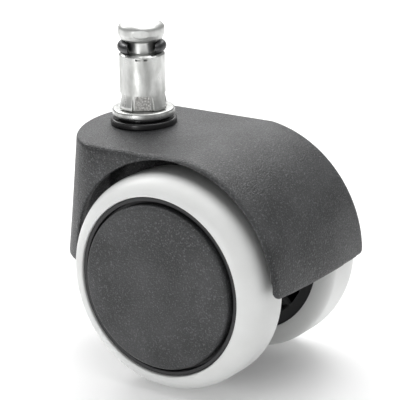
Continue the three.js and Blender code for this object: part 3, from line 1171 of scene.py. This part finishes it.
    def bush(self) -> None:
        """Flanged bush in the swivel boss, with a bevelled collar that shows above the roof."""
        seat = self.roof + self.bench.wheel.centre.z / MM + 0.1
        outline = eased(
            [
                (self.bush_bore, self.stem_boss_end, 0.1),
                (self.bush_body, self.stem_boss_end, 0.1),
                (self.bush_body, seat, 0.05),
                (self.bush_collar, seat, 0.1),
                (self.bush_collar, self.collar_top, 0.45),
                (self.bush_nose, self.collar_top, 0.1),
                (self.bush_nose, self.bush_top, 0.1),
                (self.bush_bore, self.bush_top, 0.1),
            ],
            closed=True,
        )
        piece = turn("swivel_liner", self.bench.stem, outline, SMALL_TURN)
        self.bench.deliver(piece, "hood_unit", "swivel_bush", Slot.BLACK_NYLON, BUSH_SKIN)

    def build(self) -> None:
        """Builds and dresses the hood and its bush."""
        self.shell()
        self.bush()


# ---- wheels ---------------------------------------------------------------------------------


@dataclass
class Wheels:
    """Both wheels. Each piece is modelled on the right side and copied to the left."""

    bench: Bench
    radius: float = 25.0
    tread_bore: float = 20.65
    tread_inner: float = 10.0
    tread_outer: float = 23.4
    shoulder_wide: float = 5.9
    shoulder_deep: float = 4.4
    inner_wide: float = 2.0
    inner_deep: float = 4.2
    hub_radius: float = 20.55
    hub_inner: float = 10.4
    hub_outer: float = 22.95
    lip_bore: float = 19.55
    lip_depth: float = 1.75
    rim_bore: float = 17.4
    disc_inner: float = 16.2
    disc_outer: float = 18.4
    boss_radius: float = 6.8
    boss_inner: float = 9.05
    boss_outer: float = 20.1
    bush_seat: float = 4.6
    ribs: int = 8
    rib_thickness: float = 1.6
    rib_start: float = 11.4
    cap_radius: float = 18.9
    cap_edge: float = 0.9
    cap_outer: float = 24.35
    cap_crown: float = 24.75
    cap_under: float = 21.35
    cap_shell: float = 1.5
    snap_radius: float = 17.2
    snap_wall: float = 1.4
    snap_end: float = 18.7

    def tread(self) -> Piece:
        """Soft tyre with a broad rounded outer shoulder and a small lip against the hub."""
        lip = 0.35
        seam = self.tread_bore + lip
        shoulder = arc(
            (self.radius - self.shoulder_deep, self.tread_outer - self.shoulder_wide),
            (self.shoulder_deep, self.shoulder_wide),
            0,
            QUARTER,
            22,
        )
        inner = arc(
            (self.radius - self.inner_deep, self.tread_inner + self.inner_wide),
            (self.inner_deep, self.inner_wide),
            -QUARTER,
            0,
            12,
        )
        lip_curve = arc(
            (seam, self.tread_outer - lip), (lip, lip), QUARTER, math.pi, 4
        )
        outline = [
            (self.tread_bore, self.tread_inner),
            *inner,
            *[point for point in shoulder if point[0] > seam],
            *lip_curve,
            (self.tread_bore, self.tread_inner),
        ]
        return turn("tyre_right", self.bench.wheel, outline, FINE_TURN)

    def hub(self) -> Piece:
        """Moulded hub with a thin outer lip, a disc, a boss and ribs on its inner side."""
        rotor = eased(
            [
                (self.bush_seat, self.boss_inner, 0.1),
                (self.boss_radius, self.boss_inner, 0.3),
                (self.boss_radius, self.disc_inner, 0.4),
                (self.rim_bore, self.disc_inner, 0.4),
                (self.rim_bore + 0.6, self.hub_inner, 0.3),
                (self.hub_radius, self.hub_inner, 0.2),
                (self.hub_radius, self.hub_outer, 0.2),
                (self.lip_bore, self.hub_outer, 0.25),
                (self.lip_bore, self.hub_outer - self.lip_depth, 0.1),
                (self.rim_bore, self.hub_outer - self.lip_depth, 0.1),
                (self.rim_bore, self.disc_outer, 0.2),
                (self.boss_radius, self.disc_outer, 0.2),
                (self.boss_radius, self.boss_outer, 0.2),
                (self.bush_seat, self.boss_outer, 0.1),
            ],
            closed=True,
        )
        piece = turn("hub_right", self.bench.wheel, rotor, FINE_TURN)
        combine(piece, self.rib_star(), Join.ADD)
        return piece

    def rib_star(self) -> Piece:
        """The ribs as one set: one is drawn, softened and then copied round the axis."""
        centre = self.bench.wheel.centre
        half = self.rib_thickness / 2
        low = mm(self.boss_radius - 1, self.rib_start, -half)
        high = mm(self.rim_bore + 1, self.disc_inner + 1, half)
        star = block("rib", centre + low, centre + high)
        soften(star, 0.25, 2, 50)
        edit(star)
        for _ in range(self.ribs - 1):
            bpy.ops.mesh.duplicate()
            bpy.ops.transform.rotate(
                value=math.tau / self.ribs, orient_axis="Y", center_override=centre
            )
        close_up()
        return star

    def cap(self) -> Piece:
        """Crowned cover disc with a rounded rim and a snap skirt behind it."""
        flat = self.cap_radius - self.cap_edge
        rim = arc(
            (flat, self.cap_outer - self.cap_edge), (self.cap_edge, self.cap_edge), 0, QUARTER, 8
        )
        crown_steps = 12
        crown = []
        for i in range(1, crown_steps + 1):
            out = flat * (1 - i / crown_steps)
            rise = (self.cap_crown - self.cap_outer) * (1 - (out / flat) ** 2)
            crown.append((out, self.cap_outer + rise))
        snap_inner = self.snap_radius - self.snap_wall
        back = eased(
            [
                (0, self.cap_crown - self.cap_shell, 0),
                (snap_inner, self.cap_outer - self.cap_shell, 0.3),
                (snap_inner, self.snap_end, 0.2),
                (self.snap_radius, self.snap_end, 0.4),
                (self.snap_radius, self.cap_under, 0.2),
                (self.cap_radius, self.cap_under, 0.15),
                (self.cap_radius, self.cap_outer - self.cap_edge, 0),
            ],
            closed=False,
        )
        return turn("cap_right", self.bench.wheel, [*back[:-1], *rim, *crown], FINE_TURN)

    def build(self) -> None:
        """Builds, copies and dresses the pieces of both wheels."""
        jobs: list[tuple[Callable[[], Piece], str, str, Slot, Finish]] = [
            (self.tread, "tyre", "tread", Slot.SOFT_TREAD, TREAD_SKIN),
            (self.hub, "hub", "wheel_hub", Slot.HUB_NYLON, HUB_SKIN),
            (self.cap, "cap", "hub_cap", Slot.CAP_NYLON, CAP_SKIN),
        ]
        for model, name, node, slot, finish in jobs:
            right = model()
            left = twin(right, f"{name}_{Side.LEFT.value}", self.bench.wheel)
            for piece, side in ((right, Side.RIGHT), (left, Side.LEFT)):
                body = f"wheel_{side.value}"
                self.bench.deliver(piece, body, f"{node}_{side.value}", slot, finish)


# ---- fittings carried over from the frame -----------------------------------------------------


def dress_fittings(bench: Bench, nodes: dict[str, Piece]) -> None:
    """Dresses the small steel and nylon fittings that keep their CAD shape.

    Args:
        bench: Where pieces are dressed.
        nodes: The frame's nodes by name.
    """
    bench.dress(nodes["stem_clip"], DARK_SPRING)
    bench.dress(nodes["axle"], ZINC)
    for side in Side:
        bench.dress(nodes[f"axle_washer_{side.value}"], ZINC)
        bench.dress(nodes[f"axle_clip_{side.value}"], DARK_SPRING)
        bench.dress(nodes[f"wheel_bush_{side.value}"], BUSH_SKIN)


# ---- studio ---------------------------------------------------------------------------------


@dataclass
class Studio:
    """Pale floor, soft lights and the camera."""

    paints: Paints
    azimuth: float = math.radians(34.409)
    elevation: float = math.radians(17.788)
    roll: float = math.radians(-1.218)
    distance: float = 479.48
    aside: float = 0.04
    above: float = 1.093
    target: tuple[float, float, float] = (15.013, 0.0, -21.25)
    focal_length: float = 189.35
    floor_size: float = 6000.0
    surround: float = 0.33
    softboxes: tuple[tuple[str, Corner, Place, float], ...] = (
        ("overhead", (150, 300, 1500), (1500, 1500), 20.0),
        ("left", (-750, 150, 650), (450, 450), 3.5),
        ("behind", (-420, 620, 560), (800, 450), 4.5),
        ("strip", (25, -300, 5), (45, 110), 0.14),
    )

    def camera(self) -> None:
        """Long-lens camera a little above the caster, seeing its left front."""
        az, el = self.azimuth, self.elevation
        back = Vector(
            (math.sin(az) * math.cos(el), -math.cos(az) * math.cos(el), math.sin(el))
        )
        level = Vector((math.cos(az), math.sin(az), 0))
        upright = back.cross(level)
        right = level * math.cos(self.roll) + upright * math.sin(self.roll)
        up = upright * math.cos(self.roll) - level * math.sin(self.roll)
        place = Vector(self.target) + back * self.distance + right * self.aside + up * self.above
        data = bpy.data.cameras.new("camera")
        data.lens = self.focal_length
        data.clip_start, data.clip_end = 0.01, 50.0
        camera = bpy.data.objects.new("camera", data)
        bpy.context.scene.collection.objects.link(camera)
        turned = Matrix((right, up, back)).transposed().to_4x4()
        camera.matrix_world = Matrix.Translation(place * MM) @ turned
        bpy.context.scene.camera = camera

    def floor(self, level: float) -> None:
        """Wide pale light table at the level the wheels stand on."""
        deselect()
        bpy.ops.mesh.primitive_plane_add(size=self.floor_size * MM, location=(0, 0, level))
        board = bpy.context.object
        board.name = "floor"
        board.data.materials.append(self.paints.of(PALE_FLOOR))
        board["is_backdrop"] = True

    def softbox(
        self, name: str, place: Corner, size: Place, power: float, target: Vector
    ) -> None:
        """A rectangular area light.

        Args:
            name: Name of the light.
            place: Where it hangs, in millimetres.
            size: Its width and height, in millimetres.
            power: Its power in watts.
            target: The point it faces, in metres.
        """
        data = bpy.data.lights.new(name, "AREA")
        data.shape = "RECTANGLE"
        data.size, data.size_y = size[0] * MM, size[1] * MM
        data.energy = power
        lamp = bpy.data.objects.new(name, data)
        bpy.context.scene.collection.objects.link(lamp)
        lamp.location = Vector(place) * MM
        lamp.rotation_mode = "QUATERNION"
        lamp.rotation_quaternion = (target - lamp.location).to_track_quat("-Z", "Y")

    def build(self, level: float) -> None:
        """Sets up the camera, the floor, the surround and the lights."""
        self.camera()
        self.floor(level)
        world = bpy.data.worlds.new("surround")
        world.use_nodes = True
        world.node_tree.nodes["Background"].inputs["Color"].default_value = (1, 1, 1, 1)
        world.node_tree.nodes["Background"].inputs["Strength"].default_value = self.surround
        bpy.context.scene.world = world
        target = Vector(self.target) * MM
        for name, place, size, power in self.softboxes:
            self.softbox(name, place, size, power, target)
        bpy.context.scene.view_settings.view_transform = "Standard"


def main() -> None:
    """Builds the studio and every sub-assembly, and reports each piece."""
    logging.basicConfig(level=logging.INFO, format="%(message)s")
    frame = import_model()
    cad_low, cad_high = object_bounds()
    axle_low, axle_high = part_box("axle")
    paints = Paints()
    bench = Bench(
        paints,
        stem=Spindle(Vector((0, 0, 0)), Vector((0, 0, 1))),
        wheel=Spindle((axle_low + axle_high) / 2, Vector((0, 1, 0))),
    )
    Studio(paints).build(cad_low.z)
    Stem(bench).build()
    Hood(bench).build()
    Wheels(bench).build()
    dress_fittings(bench, frame["nodes"])


if __name__ == "__main__":
    main()
